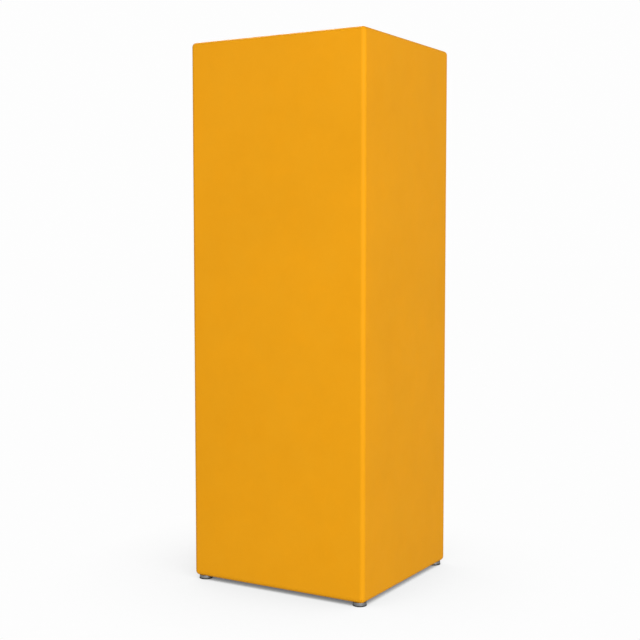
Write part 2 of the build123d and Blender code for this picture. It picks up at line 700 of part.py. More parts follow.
def return_lever():
    """Rocker: the button pushes its wide arm, its narrow arm works the gate beside the coin chute."""
    d, z = LEVER_AXIS
    finger_x = (COIN_X + 6, COIN_X + 10)
    lever = rod_x((finger_x[0], BUTTON_X + 6), d, z, HUB_R)
    lever += slab((BUTTON_X - 3, BUTTON_X + 3), (d - 1.5, d + 1.5), (BUTTON_Z - 5, z))
    lever += slab(finger_x, (d - 4, d + 4), (COIN_Z - 20, z))
    return lever - rod_x((COIN_X, BUTTON_X + 16), d, z, SHAFT_R + FIT)


# ---- coin head: return cup
def return_cup():
    wall = CUP_WALL
    cup = rounded(grow(CUP_X, CUP_BEZEL), (RECESS - 2.5, RECESS), grow(CUP_Z, CUP_BEZEL), 5)
    cup = fillet(cup.faces().sort_by(Axis.Y)[0].edges(), 1.0)
    cup += slab(CUP_X, (RECESS, CUP_BACK), CUP_Z)
    cup -= slab(grow(CUP_X, -wall), (RECESS, CUP_BACK - wall), grow(CUP_Z, -wall))
    cup -= rounded(grow(CUP_X, -6), (RECESS - 4, RECESS + 1), (CUP_Z[0] + 6, CUP_Z[1] - 12), 3)
    inlet = (CUP_X[0] + wall, CUP_X[0] + wall + 10.5)
    cup -= slab(inlet, chute_inside(), (CUP_Z[1] - wall - 1, CUP_Z[1] + 1))
    return cup - rod_x(grow(CUP_X, 1), FLAP_AXIS[0], FLAP_AXIS[1], FLAP_PIN_R)


def flap_pin():
    return rod_x(CUP_X, FLAP_AXIS[0], FLAP_AXIS[1], FLAP_PIN_R)


def return_flap():
    d, z = FLAP_AXIS
    x = grow(CUP_X, -CUP_WALL - 1)
    flap = rod_x(x, d, z, 2 * FLAP_PIN_R) + slab(x, (d - 1, d + 1), (CUP_Z[0] + CUP_WALL + 1.5, z))
    return flap - rod_x(grow(x, 1), d, z, FLAP_PIN_R + FIT)


# ---- coin drawer
def box_span():
    return grow(DRAWER_X, -BOX_INSET_X), grow(DRAWER_Z, -BOX_INSET_Z)


def housing_top():
    return box_span()[1][1] + DRAWER_GAP + HOUSING_T


def lock_hole():
    return screw_hole(LOCK_X, (RECESS - 10, RECESS + 10), LOCK_Z, LOCK_R)


def drawer_front():
    front = rounded(DRAWER_X, (RECESS - 2, RECESS + 1), DRAWER_Z, 3)
    front = fillet(front.faces().sort_by(Axis.Y)[0].edges(), 1.0)
    return front - lock_hole()


def drawer_box():
    x, z = box_span()
    t, front = DRAWER_SHEET, RECESS + 1
    box = slab(x, (front, front + DRAWER_LONG), z)
    box -= slab(grow(x, -t), (front + t, front + DRAWER_LONG - t), (z[0] + t, z[1] + 1))
    return box - lock_hole()


def drawer_housing():
    """Sleeve round the drawer box, on two side skirts that stand on the divider."""
    x, z = box_span()
    clear_x, clear_z = grow(x, DRAWER_GAP), grow(z, DRAWER_GAP)
    floor_z = HEAD_Z + THIN_SHEET
    top = (clear_z[1] - 1, clear_z[1] + HOUSING_T + 1)
    housing = slab(grow(clear_x, HOUSING_T), HOUSING_D, grow(clear_z, HOUSING_T))
    housing += slab(grow(clear_x, HOUSING_T), (RECESS + 30, HOUSING_D[1]), (floor_z, clear_z[0]))
    housing -= slab(clear_x, (HOUSING_D[0] - 1, HOUSING_D[1] - HOUSING_T), clear_z)
    housing -= slab(clear_x, (RECESS, HOUSING_D[1] - HOUSING_T), (floor_z - 1, clear_z[0] - HOUSING_T))
    housing -= slab((LOCK_X - CAM_HALF - 2, LOCK_X + CAM_REACH + 2), grow(CAM_D, CAM_SLOT_GAP), top)
    return housing - slab((COIN_X - 3, COIN_X + 3), chute_inside(), top)


def lock_barrel():
    flange = rod_y(LOCK_X, (RECESS - 4, RECESS - 2), LOCK_Z, LOCK_R + 2.5)
    flange = fillet(flange.faces().sort_by(Axis.Y)[0].edges(), 0.8)
    barrel = flange + rod_y(LOCK_X, (RECESS - 2, LOCK_BACK), LOCK_Z, LOCK_R)
    return barrel - rod_y(LOCK_X, (RECESS - 10, LOCK_BACK + 2), LOCK_Z, PLUG_R + FIT)


def cam_square(d):
    half = CAM_SQUARE
    return slab((LOCK_X - half, LOCK_X + half), d, (LOCK_Z - half, LOCK_Z + half))


def lock_plug():
    plug = rod_y(LOCK_X, (RECESS - 4.5, LOCK_BACK + 0.5), LOCK_Z, PLUG_R)
    plug += cam_square((LOCK_BACK, CAM_D[1])) + rod_y(LOCK_X, (LOCK_BACK, CAM_D[0]), LOCK_Z, PLUG_R - 1)
    return plug - slab((LOCK_X - 0.6, LOCK_X + 0.6), (RECESS - 10, LOCK_BACK - 6), (LOCK_Z - 4, LOCK_Z + 4))


def lock_cam():
    tip = LOCK_X + CAM_REACH - CAM_HALF
    cam = rod_y(LOCK_X, CAM_D, LOCK_Z, CAM_HALF + 1) + rod_y(tip, CAM_D, LOCK_Z, CAM_HALF)
    cam += slab((LOCK_X, tip), CAM_D, (LOCK_Z - CAM_HALF, LOCK_Z + CAM_HALF))
    return cam - cam_square(grow(CAM_D, 1))


def cam_nut():
    where = Plane(origin=(LOCK_X, FRONT_Y + CAM_D[1] + 3, LOCK_Z), x_dir=(1, 0, 0), z_dir=(0, -1, 0))
    return extrude(where * RegularPolygon(5.5, 6), amount=3)


# ---- coin head: mechanism
def mechanism_plates():
    """Two side plates on the divider that carry the three shafts."""
    low, high, back = HEAD_Z + THIN_SHEET, LEVER_AXIS[1] + 10, WHEEL_AXIS[0] + 22
    step = FASCIA_LOW + SHEET
    outline = [(SKIN_BACK, step), (TRAY_BACK + 1, step), (TRAY_BACK + 1, low), (back, low),
               (back, high - 34), (back - 32, high), (SKIN_BACK, high)]
    plates = None
    for x in PLATE_X:
        one = side_profile(outline, (x, x + SHEET))
        for d, z in (PAWL_AXIS, LEVER_AXIS, WHEEL_AXIS):
            one -= rod_x((x - 1, x + 3), d, z, SHAFT_R)
        plates = one if plates is None else plates + one
    opening_d = (CHUTE_THROAT - 2, CHUTE_BACK + 2)
    window = slab(grow((PLATE_X[1], PLATE_X[1] + SHEET), 1), opening_d, (CUP_Z[1], CUP_Z[1] + 40))
    return plates - window


def mechanism_pins():
    pins = None
    for d, z in (PAWL_AXIS, LEVER_AXIS, WHEEL_AXIS):
        one = rod_x((PLATE_X[0] - 3, PLATE_X[1] + 5), d, z, SHAFT_R)
        pins = one if pins is None else pins + one
    return pins


def counting_wheel():
    d, z = WHEEL_AXIS
    teeth, tip, root = 12, 22.0, 17.0
    points = []
    for i in range(teeth):
        a = 2 * math.pi * i / teeth
        b = a + 0.85 * 2 * math.pi / teeth
        points.append((d + tip * math.cos(a), z + tip * math.sin(a)))
        points.append((d + root * math.cos(b), z + root * math.sin(b)))
    wheel = side_profile(points, (COIN_X - 60, COIN_X - 56))
    wheel += rod_x((COIN_X - 66, COIN_X - 50), d, z, 2 * SHAFT_R)
    return wheel - rod_x((COIN_X - 70, COIN_X - 40), d, z, SHAFT_R + FIT)


def latch_pawl():
    """Hook that drops through the divider in front of the strike's nose."""
    d, z = PAWL_AXIS
    x = (LATCH_X - LATCH_HALF, LATCH_X + LATCH_HALF)
    tip = 48.5
    outline = [(d, z + 5), (d + tip, z + 5), (d + tip, z - 8.5), (d + tip - 8.5, z - 8.5),
               (d + tip - 14.5, z - 2), (d, z - 2)]
    pawl = side_profile(outline, x) + rod_x(grow(x, 2), d, z, HUB_R)
    return pawl - rod_x(grow(x, 3), d, z, SHAFT_R + FIT)


# ---- every piece
card_frame, display_card, card_cover = card_set(CARD_X, CARD_Z, 12)
price_frame, price_card, price_lens = card_set(PRICE_X, PRICE_Z, 10)

PIECES = {
    "cabinet_shell": cabinet_shell(),
    "recess_liner": recess_liner(),
    "paper_shelf": paper_shelf(),
    "shelf_rails": shelf_rails(),
    "head_divider": head_divider(),
    "base_rails": base_rails(),
    "foot_weld_nuts": foot_weld_nuts(),
    "lower_panel": lower_panel(),
    "panel_screws": panel_screws(PANEL_SCREW_Z + FASCIA_SCREW_Z),
    "card_frame": card_frame,
    "display_card": display_card,
    "card_cover": card_cover,
    "door_stops": door_stops(),
    "stop_bumpers": stop_bumpers(),
    "cabinet_hinge_leaf": hinge_leaf(False),
    "hinge_pin": hinge_pin(),
    "door_springs": door_springs(),
    "door_skin": door_skin(),
    "door_stiffeners": door_stiffeners(),
    "window_gasket": window_gasket(),
    "window_pane": window_pane(),
    "window_retainers": window_retainers(),
    "retainer_screws": retainer_screws(),
    "door_handle": door_handle(),
    "handle_screws": handle_screws(),
    "latch_strike": latch_strike(),
    "door_quadrants": door_quadrants(),
    "door_hinge_leaf": hinge_leaf(True),
    "display_wire_ears": display_wire_ears(),
    "display_wire": display_wire(),
    "coin_fascia": coin_fascia(),
    "coin_slot_plate": coin_slot_plate(),
    "coin_chute": coin_chute(),
    "return_chute": return_chute(),
    "button_barrel": button_barrel(),
    "return_button": return_button(),
    "button_clip": button_clip(),
    "button_spring": button_spring(),
    "return_lever": return_lever(),
    "return_cup": return_cup(),
    "flap_pin": flap_pin(),
    "return_flap": return_flap(),
    "price_frame": price_frame,
    "price_card": price_card,
    "price_lens": price_lens,
    "drawer_front": drawer_front(),
    "drawer_box": drawer_box(),
    "drawer_housing": drawer_housing(),
    "lock_barrel": lock_barrel(),
    "lock_plug": lock_plug(),
    "lock_cam": lock_cam(),
    "cam_nut": cam_nut(),
    "mechanism_plates": mechanism_plates(),
    "mechanism_pins": mechanism_pins(),
    "counting_wheel": counting_wheel(),
    "latch_pawl": latch_pawl(),
    "foot_front_left": levelling_foot(-1, -1),
    "foot_front_right": levelling_foot(1, -1),
    "foot_rear_left": levelling_foot(-1, 1),
    "foot_rear_right": levelling_foot(1, 1),
}

for name, piece in PIECES.items():
    save(piece, name)
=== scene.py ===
"""Newspaper vending box: finishes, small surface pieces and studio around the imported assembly.

Each sub-assembly is a class that holds its own sizes, dresses the nodes it owns and builds the few
small pieces that are looks only. Metres, +Z up, the door faces -Y.
"""

from __future__ import annotations

import json
import logging
import math
from dataclasses import dataclass, field
from enum import Enum
from typing import Iterable, Sequence

import bmesh
import bpy
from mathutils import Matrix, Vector

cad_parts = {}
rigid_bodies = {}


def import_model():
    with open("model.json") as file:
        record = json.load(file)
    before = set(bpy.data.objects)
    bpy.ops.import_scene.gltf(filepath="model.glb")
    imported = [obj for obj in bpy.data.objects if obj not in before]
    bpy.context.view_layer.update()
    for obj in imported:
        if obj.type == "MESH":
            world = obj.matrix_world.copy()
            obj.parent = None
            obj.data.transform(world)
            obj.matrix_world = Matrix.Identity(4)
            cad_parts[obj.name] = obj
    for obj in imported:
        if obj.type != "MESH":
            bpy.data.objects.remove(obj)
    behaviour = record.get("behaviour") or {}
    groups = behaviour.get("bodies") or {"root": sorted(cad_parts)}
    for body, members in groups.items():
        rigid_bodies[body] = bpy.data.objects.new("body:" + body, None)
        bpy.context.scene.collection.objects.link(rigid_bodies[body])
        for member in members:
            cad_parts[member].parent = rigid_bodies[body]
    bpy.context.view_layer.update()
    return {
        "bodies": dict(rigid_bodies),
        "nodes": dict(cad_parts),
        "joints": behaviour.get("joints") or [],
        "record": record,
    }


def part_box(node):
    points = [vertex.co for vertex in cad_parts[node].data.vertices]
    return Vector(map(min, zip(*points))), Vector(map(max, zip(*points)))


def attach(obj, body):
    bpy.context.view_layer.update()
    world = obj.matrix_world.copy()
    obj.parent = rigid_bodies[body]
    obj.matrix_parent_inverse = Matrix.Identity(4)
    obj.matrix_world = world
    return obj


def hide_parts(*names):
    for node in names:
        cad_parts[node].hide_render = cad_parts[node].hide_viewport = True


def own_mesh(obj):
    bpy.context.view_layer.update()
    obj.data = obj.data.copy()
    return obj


LOG = logging.getLogger("vending_box")
Colour = tuple[float, float, float]
WHITE = (1.0, 1.0, 1.0, 1.0)


class Slot(Enum):
    """Material slots of the record."""

    POWDER_COAT = "powder_coat"
    GALVANISED = "galvanised_steel"
    ZINC = "zinc_steel"
    STAINLESS = "stainless_steel"
    CHROME = "chrome"
    ALUMINIUM = "aluminium"
    RUBBER = "black_rubber"
    CLEAR = "clear_sheet"
    CARD = "card"
    PLASTIC = "black_plastic"
    BRASS = "brass"


class Grain(Enum):
    """Direction in which a metal was brushed, as the stretch of its noise along x, y and z."""

    ALONG_X = (1.0, 40.0, 40.0)
    ALONG_Y = (40.0, 1.0, 40.0)
    ALONG_Z = (40.0, 40.0, 1.0)
    NONE = (1.0, 1.0, 1.0)


def scaled(colour: Colour, by: float) -> Colour:
    """Lighten or darken a colour by one factor."""
    return colour[0] * by, colour[1] * by, colour[2] * by


class Graph:
    """Adds and links the nodes of one shader tree."""

    def __init__(self, tree: bpy.types.NodeTree) -> None:
        """Start from an empty tree."""
        self.tree = tree
        tree.nodes.clear()

    def add(self, kind: str, values: dict[str, object] | None = None, **settings: object) -> bpy.types.Node:
        """Add one node.

        Args:
            kind: node type name, without the leading "ShaderNode".
            values: constants for its input sockets, by socket name.
            **settings: properties of the node itself.

        Returns:
            The new node.
        """
        node = self.tree.nodes.new("ShaderNode" + kind)
        for key, value in settings.items():
            setattr(node, key, value)
        for key, value in (values or {}).items():
            node.inputs[key].default_value = value
        return node

    def join(self, source: bpy.types.NodeSocket, target: bpy.types.NodeSocket) -> None:
        """Link an output socket to an input socket."""
        self.tree.links.new(source, target)

    def place(self, stretch: Sequence[float] = (1.0, 1.0, 1.0)) -> bpy.types.NodeSocket:
        """Give object coordinates.

        Args:
            stretch: factors along x, y and z.

        Returns:
            The stretched coordinates.
        """
        where = self.add("TexCoord")
        mapping = self.add("Mapping", {"Scale": tuple(stretch)})
        self.join(where.outputs["Object"], mapping.inputs["Vector"])
        return mapping.outputs["Vector"]

    def noise(self, vector: bpy.types.NodeSocket, scale: float, detail: float = 2.0,
              rough: float = 0.5) -> bpy.types.NodeSocket:
        """Add a noise texture.

        Args:
            vector: coordinates.
            scale: number of features in a metre.
            detail: number of finer layers.
            rough: strength of the finer layers.

        Returns:
            The noise as one value.
        """
        node = self.add("TexNoise", {"Scale": scale, "Detail": detail, "Roughness": rough})
        self.join(vector, node.inputs["Vector"])
        return node.outputs[0]

    def spread(self, value: bpy.types.NodeSocket, low: float, high: float,
               start: float = 0.3, end: float = 0.7) -> bpy.types.NodeSocket:
        """Map a value from one range onto another, clamped.

        Args:
            value: the value to map.
            low: result at start.
            high: result at end.
            start: where the incoming range begins.
            end: where it ends.

        Returns:
            The mapped value.
        """
        node = self.add("MapRange", {"From Min": start, "From Max": end, "To Min": low, "To Max": high})
        self.join(value, node.inputs["Value"])
        return node.outputs["Result"]

    def maths(self, operation: str, first: bpy.types.NodeSocket | float,
              second: bpy.types.NodeSocket | float = 0.0) -> bpy.types.NodeSocket:
        """Add one arithmetic step.

        Args:
            operation: name of the step.
            first: a socket or a plain number.
            second: a socket or a plain number.

        Returns:
            The result.
        """
        node = self.add("Math", operation=operation)
        for index, item in enumerate((first, second)):
            if isinstance(item, (int, float)):
                node.inputs[index].default_value = item
            else:
                self.join(item, node.inputs[index])
        return node.outputs[0]

    def blend(self, share: bpy.types.NodeSocket, first: Colour | bpy.types.NodeSocket,
              second: Colour | bpy.types.NodeSocket) -> bpy.types.NodeSocket:
        """Mix two colours.

        Args:
            share: 0 for the first, 1 for the second.
            first: a colour or a socket.
            second: a colour or a socket.

        Returns:
            The mixed colour.
        """
        node = self.add("Mix", data_type="RGBA")
        self.join(share, node.inputs["Factor"])
        for socket, item in ((node.inputs[6], first), (node.inputs[7], second)):
            if isinstance(item, tuple):
                socket.default_value = (*item, 1.0)
            else:
                self.join(item, socket)
        return node.outputs[2]

    def bump(self, height: bpy.types.NodeSocket, strength: float, depth: float) -> bpy.types.NodeSocket:
        """Turn a height into a bumped normal.

        Args:
            height: height from 0 to 1.
            strength: share of the effect.
            depth: height of the relief in metres.

        Returns:
            The normal.
        """
        node = self.add("Bump", {"Strength": strength, "Distance": depth})
        self.join(height, node.inputs["Height"])
        return node.outputs["Normal"]

    def surface(self, constants: dict[str, object], colour: bpy.types.NodeSocket,
                roughness: bpy.types.NodeSocket, normal: bpy.types.NodeSocket) -> bpy.types.Node:
        """Close the tree with a principled surface.

        Args:
            constants: plain values for the other sockets.
            colour: base colour.
            roughness: roughness.
            normal: bumped normal.

        Returns:
            The shader, for sockets that few finishes use.
        """
        shader = self.add("BsdfPrincipled", constants)
        self.join(colour, shader.inputs["Base Color"])
        self.join(roughness, shader.inputs["Roughness"])
        self.join(normal, shader.inputs["Normal"])
        out = self.add("OutputMaterial")
        self.join(shader.outputs["BSDF"], out.inputs["Surface"])
        return shader


@dataclass(frozen=True)
class Finish:
    """Base of every finish: a named material made of nodes."""

    name: str

    def material(self) -> bpy.types.Material:
        """Build the material.

        Returns:
            A new material with its nodes.
        """
        made = bpy.data.materials.new(self.name)
        made.use_nodes = True
        self.weave(Graph(made.node_tree))
        return made

    def weave(self, graph: Graph) -> None:
        """Fill the node tree; each finish has its own.

        Args:
            graph: the node tree to fill.
        """
        raise NotImplementedError


@dataclass(frozen=True)
class PowderCoat(Finish):
    """Baked powder paint: even colour, a fine orange-peel skin and a soft gloss."""

    colour: Colour
    roughness: float = 0.46
    sheen_level: float = 0.05
    peel: float = 0.10

    def weave(self, graph: Graph) -> None:
        """Mottle the colour slightly and ripple the skin at two sizes.

        Args:
            graph: the node tree to fill.
        """
        where = graph.place()
        cloud = graph.noise(where, 7.0, 7.0, 0.66)
        drift = graph.noise(where, 16.0, 5.0, 0.6)
        fine = graph.noise(where, 900.0, 2.0)
        red, green, blue = self.colour
        paler = (red * 0.985, green * 1.03, blue * 1.5)
        clouded = graph.spread(cloud, 0.0, 1.0)
        colour = graph.blend(clouded, scaled(self.colour, 0.96), scaled(self.colour, 1.03))
        colour = graph.blend(graph.spread(drift, 0.0, 0.5), colour, paler)
        colour = graph.blend(graph.spread(fine, 0.0, 0.10, 0.35, 0.75), colour, scaled(self.colour, 0.80))
        gloss = graph.noise(where, 26.0, 4.0)
        rough = graph.spread(gloss, self.roughness - 0.03, self.roughness + 0.03)
        small = graph.maths("MULTIPLY", graph.noise(where, 760.0, 2.0), 0.45)
        ripple = graph.maths("ADD", graph.noise(where, 240.0, 1.0), small)
        normal = graph.bump(ripple, self.peel, 0.0006)
        graph.surface({"Specular IOR Level": self.sheen_level}, colour, rough, normal)


@dataclass(frozen=True)
class BrushedMetal(Finish):
    """Bare metal with fine lines along one direction."""

    colour: Colour
    grain: Grain = Grain.ALONG_X
    roughness: float = 0.3
    depth: float = 0.08

    def weave(self, graph: Graph) -> None:
        """Lay fine lines over a clouded, faintly handled surface.

        Args:
            graph: the node tree to fill.
        """
        lines = graph.noise(graph.place(self.grain.value), 38.0, 6.0, 0.7)
        cloud = graph.noise(graph.place(), 9.0, 4.0)
        lined = graph.spread(lines, 0.0, 1.0)
        colour = graph.blend(lined, scaled(self.colour, 0.86), scaled(self.colour, 1.06))
        colour = graph.blend(graph.spread(cloud, 0.0, 0.25), colour, scaled(self.colour, 0.78))
        rough = graph.maths("ADD", graph.spread(lines, -0.05, 0.07),
                            graph.spread(cloud, self.roughness - 0.04, self.roughness + 0.06))
        graph.surface({"Metallic": 1.0}, colour, rough, graph.bump(lines, self.depth, 0.0004))


@dataclass(frozen=True)
class Spangle(Finish):
    """Hot-dip zinc: large grey crystals with soft edges."""

    colour: Colour
    size: float = 55.0

    def weave(self, graph: Graph) -> None:
        """Shade crystal cells and dull them with a fine bloom.

        Args:
            graph: the node tree to fill.
        """
        where = graph.place()
        warp = graph.noise(where, 30.0, 2.0)
        cells = graph.add("TexVoronoi", {"Scale": self.size, "Randomness": 1.0})
        graph.join(where, cells.inputs["Vector"])
        tone = graph.add("SeparateColor")
        graph.join(cells.outputs["Color"], tone.inputs["Color"])
        crystal = graph.maths("MULTIPLY", tone.outputs[0], 0.75)
        share = graph.maths("ADD", crystal, graph.spread(warp, 0.0, 0.25))
        colour = graph.blend(share, scaled(self.colour, 0.72), scaled(self.colour, 1.08))
        rough = graph.spread(tone.outputs[1], 0.30, 0.48, 0.0, 1.0)
        graph.surface({"Metallic": 0.9}, colour, rough, graph.bump(cells.outputs["Distance"], 0.06, 0.0006))


@dataclass(frozen=True)
class Polished(Finish):
    """Plated or polished metal with faint wipe marks."""

    colour: Colour
    roughness: float = 0.08

    def weave(self, graph: Graph) -> None:
        """Vary the polish with broad smears and very fine scratches.

        Args:
            graph: the node tree to fill.
        """
        smear = graph.noise(graph.place((1.0, 4.0, 1.0)), 24.0, 4.0, 0.6)
        scratch = graph.noise(graph.place((30.0, 30.0, 1.0)), 45.0, 5.0, 0.7)
        colour = graph.blend(graph.spread(smear, 0.0, 1.0), scaled(self.colour, 0.93), self.colour)
        rough = graph.maths("ADD", graph.spread(smear, self.roughness - 0.02, self.roughness + 0.07),
                            graph.spread(scratch, 0.0, 0.04))
        graph.surface({"Metallic": 1.0}, colour, rough, graph.bump(scratch, 0.02, 0.0002))


@dataclass(frozen=True)
class Moulded(Finish):
    """Rubber or plastic with a fine moulded grain."""

    colour: Colour
    roughness: float = 0.6
    grain: float = 650.0

    def weave(self, graph: Graph) -> None:
        """Grain the skin and dust the colour.

        Args:
            graph: the node tree to fill.
        """
        where = graph.place()
        skin = graph.noise(where, self.grain, 3.0)
        dust = graph.noise(where, 22.0, 5.0, 0.6)
        colour = graph.blend(graph.spread(dust, 0.0, 0.22, 0.45, 0.75), self.colour, (0.16, 0.15, 0.14))
        rough = graph.spread(dust, self.roughness - 0.05, self.roughness + 0.12)
        graph.surface({"Specular IOR Level": 0.4}, colour, rough, graph.bump(skin, 0.15, 0.0003))


@dataclass(frozen=True)
class ClearSheet(Finish):
    """Clear plastic sheet with a faint tint, hairline marks and a little haze."""

    tint: Colour = (0.42, 0.46, 0.47)
    body: float = 0.07

    def weave(self, graph: Graph) -> None:
        """Haze the sheet in patches.

        Args:
            graph: the node tree to fill.
        """
        haze = graph.noise(graph.place(), 14.0, 5.0, 0.65)
        marks = graph.noise(graph.place((1.0, 1.0, 60.0)), 30.0, 3.0)
        colour = graph.blend(graph.spread(haze, 0.0, 1.0), self.tint, scaled(self.tint, 0.9))
        rough = graph.spread(haze, 0.04, 0.10)
        shader = graph.surface({"Specular IOR Level": 1.0, "IOR": 1.58}, colour, rough,
                               graph.bump(marks, 0.01, 0.0001))
        graph.join(graph.spread(haze, self.body, self.body + 0.05), shader.inputs["Alpha"])


@dataclass(frozen=True)
class PrintedCard(Finish):
    """Blank insert card: plain stock with a coloured band and thin rules, and no words."""

    stock: Colour
    ink: Colour
    rules: float
    band_low: float
    band_high: float
    rule_share: float = 0.12

    def weave(self, graph: Graph) -> None:
        """Print a band and rules by height, over paper fibre.

        Args:
            graph: the node tree to fill.
        """
        where = graph.place()
        fibre = graph.noise(where, 800.0, 3.0)
        parts = graph.add("SeparateXYZ")
        graph.join(where, parts.inputs["Vector"])
        height = parts.outputs["Z"]
        above = graph.maths("GREATER_THAN", height, self.band_low)
        below = graph.maths("LESS_THAN", height, self.band_high)
        band = graph.maths("MULTIPLY", above, below)
        wave = graph.maths("FRACT", graph.maths("MULTIPLY", height, self.rules))
        line = graph.maths("LESS_THAN", wave, self.rule_share)
        rule = graph.maths("MULTIPLY", line, graph.maths("LESS_THAN", height, self.band_low))
        paper = graph.blend(graph.spread(fibre, 0.0, 1.0), scaled(self.stock, 0.93), self.stock)
        ruled = graph.blend(graph.maths("MULTIPLY", rule, 0.45), paper, scaled(self.ink, 0.8))
        colour = graph.blend(graph.maths("MULTIPLY", band, 0.92), ruled, self.ink)
        rough = graph.spread(fibre, 0.55, 0.72)
        graph.surface({"Specular IOR Level": 0.3}, colour, rough, graph.bump(fibre, 0.08, 0.0002))


@dataclass(frozen=True)
class StudioFloor(Finish):
    """Pale glowing sweep with a painted shadow: its glow darkens where something stands close over it."""

    seen: float = 0.985
    cast: float = 0.42
    reach: float = 0.40
    # painted shadow: tilt of the occlusion, which shifts the painted shadow to one side
    shadow_lean: tuple[float, float] = (-0.22, 0.17)
    # painted shadow: the darkest grey and the ramp stops that darken the floor's glow
    painted_shadow_darkest: Colour = (0.07, 0.07, 0.075)
    painted_shadow_falloff: tuple[tuple[float, float], ...] = ((0.26, 0.36), (0.50, 0.84), (0.78, 0.968))

    def weave(self, graph: Graph) -> None:
        """Paint a shadow into an even glow by how much of the sky is hidden nearby.

        Args:
            graph: the node tree to fill.
        """
        # painted shadow: ambient occlusion, leaned to one side, darkens the floor's glow near the box
        shade = graph.add("AmbientOcclusion", {"Distance": self.reach}, samples=12)
        shadow_lean = graph.add("CombineXYZ", {"X": self.shadow_lean[0], "Y": self.shadow_lean[1], "Z": 1.0})
        graph.join(shadow_lean.outputs[0], shade.inputs["Normal"])
        ramp = graph.add("ValToRGB")
        stops = ramp.color_ramp.elements
        stops[0].color = (*self.painted_shadow_darkest, 1.0)
        stops[1].color = WHITE
        for place, grey in self.painted_shadow_falloff:
            stops.new(place).color = (grey, grey, grey, 1.0)
        graph.join(shade.outputs["AO"], ramp.inputs["Fac"])
        tooth = graph.noise(graph.place(), 40.0, 2.0)
        tone = graph.blend(graph.spread(tooth, 0.0, 1.0), (1.0, 1.0, 1.0), (0.997, 0.997, 0.997))
        colour = graph.add("Mix", {"Factor": 1.0}, data_type="RGBA", blend_type="MULTIPLY")
        graph.join(ramp.outputs["Color"], colour.inputs[6])
        graph.join(tone, colour.inputs[7])
        # the floor glows rather than being lit; the painted shadow darkens both what camera rays see and the
        # light it gives the box
        ray = graph.add("LightPath")
        level = graph.spread(ray.outputs["Is Camera Ray"], self.cast, self.seen, 0.0, 1.0)
        glow = graph.add("Emission")
        graph.join(colour.outputs[2], glow.inputs["Color"])
        graph.join(level, glow.inputs["Strength"])
        out = graph.add("OutputMaterial")
        graph.join(glow.outputs[0], out.inputs["Surface"])


@dataclass
class Palette:
    """Every finish of the box, made once and shared."""

    yellow: Colour = (0.86, 0.357, 0.0065)
    made: dict[Slot, bpy.types.Material] = field(default_factory=dict)
    variants: dict[str, bpy.types.Material] = field(default_factory=dict)

    def build(self) -> Palette:
        """Make one material for each slot, and the special ones.

        Returns:
            This palette, filled.
        """
        steel = (0.56, 0.565, 0.57)
        finishes: dict[Slot, Finish] = {
            Slot.POWDER_COAT: PowderCoat("powder_coat_yellow", self.yellow),
            Slot.GALVANISED: Spangle("hot_dip_zinc", (0.46, 0.47, 0.48)),
            Slot.ZINC: BrushedMetal("zinc_plated", (0.36, 0.365, 0.37), Grain.NONE, 0.38, 0.05),
            Slot.STAINLESS: BrushedMetal("stainless_brushed", steel, Grain.ALONG_X, 0.28, 0.06),
            Slot.CHROME: Polished("chrome_plate", (0.66, 0.67, 0.68)),
            Slot.ALUMINIUM: BrushedMetal("aluminium_satin", (0.68, 0.685, 0.69), Grain.ALONG_X, 0.34, 0.05),
            Slot.RUBBER: Moulded("black_rubber", (0.018, 0.018, 0.018), 0.62),
            Slot.CLEAR: ClearSheet("clear_polycarbonate"),
            Slot.CARD: PrintedCard("insert_card", (0.83, 0.81, 0.76), (0.08, 0.16, 0.28), 62.0, 0.34, 0.374),
            Slot.PLASTIC: Moulded("black_plastic", (0.025, 0.025, 0.026), 0.48),
            Slot.BRASS: Polished("brass_turned", (0.60, 0.42, 0.16), 0.22),
        }
        for slot, finish in finishes.items():
            self.made[slot] = finish.material()
        upright = BrushedMetal("stainless_brushed_upright", steel, Grain.ALONG_Z, 0.28, 0.06)
        price = PrintedCard("price_card", (0.86, 0.85, 0.82), (0.34, 0.03, 0.03), 88.0, 1.162, 1.186)
        self.variants["upright"] = upright.material()
        self.variants["price"] = price.material()
        self.variants["floor"] = StudioFloor("paper_sweep").material()
        return self


